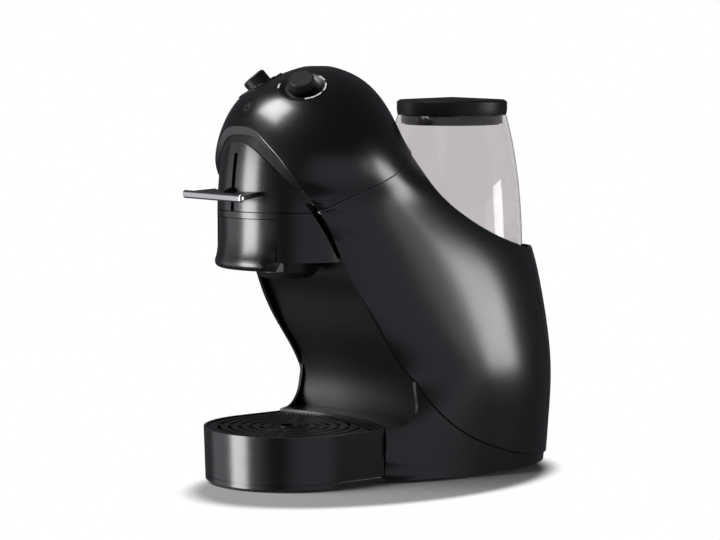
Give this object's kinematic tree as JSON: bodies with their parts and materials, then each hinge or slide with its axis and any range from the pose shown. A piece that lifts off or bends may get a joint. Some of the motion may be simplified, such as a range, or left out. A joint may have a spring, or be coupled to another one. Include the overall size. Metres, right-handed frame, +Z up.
{
  "type": "pod coffee machine",
  "caption": "Table-top pod coffee machine with a rounded hood, lever, capsule drawer, clear rear water tank and round-fronted drip tray.",
  "frame": {"origin": "centre of the machine's footprint box on the table, under the rubber feet", "axes": "+Z up, -Y towards the front with the lever and the drip tray, +X to the right side seen from behind the lever"},
  "size_m": [0.1732, 0.3001, 0.302],
  "materials": {
    "gloss_black": "piano black gloss",
    "satin_black": "satin black",
    "dark_grey": "fine textured dark grey",
    "clear_tank": "clear, slightly grey",
    "chrome": "polished",
    "steel": "turned",
    "aluminium": "die cast",
    "rubber": "soft matt",
    "silicone": "milky silicone",
    "board_green": "solder mask",
    "white_plastic": "moulded white"
  },
  "bodies": {
    "root": {"base_shell": "gloss_black", "base_plate": "dark_grey", "base_screws": "steel", "rubber_feet": "rubber", "side_panel_left": "gloss_black", "side_panel_right": "gloss_black", "rear_cover": "gloss_black", "hood": "gloss_black", "hood_trim": "gloss_black", "lever_fascia": "gloss_black", "brew_shroud": "gloss_black", "column_wall": "gloss_black", "tank_bay": "satin_black", "tank_deck": "satin_black", "valve_socket": "white_plastic", "chassis": "dark_grey", "brew_block": "dark_grey", "lever_pivot": "steel", "dial_bezel_left": "gloss_black", "dial_bezel_right": "gloss_black", "dial_sensor_left": "dark_grey", "dial_sensor_right": "dark_grey", "power_switch": "white_plastic", "button_spring": "steel", "control_board": "board_green", "heater_block": "aluminium", "heater_rod": "steel", "thermostat": "steel", "pump": "white_plastic", "pump_mounts": "rubber", "flow_meter": "white_plastic", "hose_tank": "silicone", "hose_pump": "silicone", "hose_boiler": "silicone", "hose_brew": "silicone", "cord_gland": "satin_black"},
    "lever": {"lever_arm": "satin_black", "lever_bar": "chrome", "crank_pin": "steel"},
    "plunger": {"plunger": "dark_grey", "plunger_seal": "silicone", "piercing_needle": "steel"},
    "drawer": {"drawer_front": "gloss_black", "capsule_holder": "satin_black", "spout_ring": "satin_black", "piercing_plate": "steel"},
    "tray": {"drip_tray": "gloss_black"},
    "grid": {"drip_grid": "satin_black"},
    "tank": {"water_tank": "clear_tank", "tank_valve": "white_plastic", "tank_filter": "white_plastic", "valve_spring": "steel"},
    "lid": {"tank_lid": "satin_black", "lid_seal": "rubber"},
    "valve": {"valve_poppet": "white_plastic"},
    "knob_left": {"dial_knob_left": "satin_black"},
    "knob_right": {"dial_knob_right": "satin_black"},
    "button": {"power_button": "gloss_black"}
  },
  "joints": [
    {"name": "lever_lift", "type": "hinge", "parent": "root", "child": "lever", "pos_m": [0, -0.0745, 0.222], "axis": [-1, 0, 0], "range_deg": [0, 24]},
    {"name": "plunger_lift", "type": "slide", "parent": "root", "child": "plunger", "axis": [0, 0, 1], "range_m": [0, 0.00851]},
    {"name": "drawer_slide", "type": "slide", "parent": "root", "child": "drawer", "axis": [0, -1, 0], "range_m": [0, 0.08]},
    {"name": "tray_slide", "type": "slide", "parent": "root", "child": "tray", "axis": [0, -1, 0], "range_m": [0, 0.11]},
    {"name": "grid_lift", "type": "slide", "parent": "tray", "child": "grid", "axis": [0, 0, 1], "range_m": [0, 0.055]},
    {"name": "tank_lift", "type": "slide", "parent": "root", "child": "tank", "axis": [0, 0, 1], "range_m": [0, 0.16]},
    {"name": "lid_lift", "type": "slide", "parent": "tank", "child": "lid", "axis": [0, 0, 1], "range_m": [0, 0.06]},
    {"name": "valve_open", "type": "slide", "parent": "tank", "child": "valve", "axis": [0, 0, 1], "range_m": [0, 0.003], "stiffness_N_per_m": 150, "deforming": ["valve_spring"]},
    {"name": "dial_left_turn", "type": "hinge", "parent": "root", "child": "knob_left", "pos_m": [-0.02395, -0.08595, 0.2861], "axis": [-0.4604, -0.4574, 0.7607], "range_deg": [-135, 135]},
    {"name": "dial_right_turn", "type": "hinge", "parent": "root", "child": "knob_right", "pos_m": [0.02395, -0.08595, 0.2861], "axis": [0.4604, -0.4574, 0.7607], "range_deg": [-135, 135]},
    {"name": "power_press", "type": "slide", "parent": "root", "child": "button", "axis": [0, 0.769, -0.6392], "range_m": [0, 0.0015], "stiffness_N_per_m": 300, "deforming": ["button_spring"]}
  ],
  "couplings": [
    {"joint": "plunger_lift", "follows": "lever_lift", "m_per_rad": 0.019842}
  ]
}
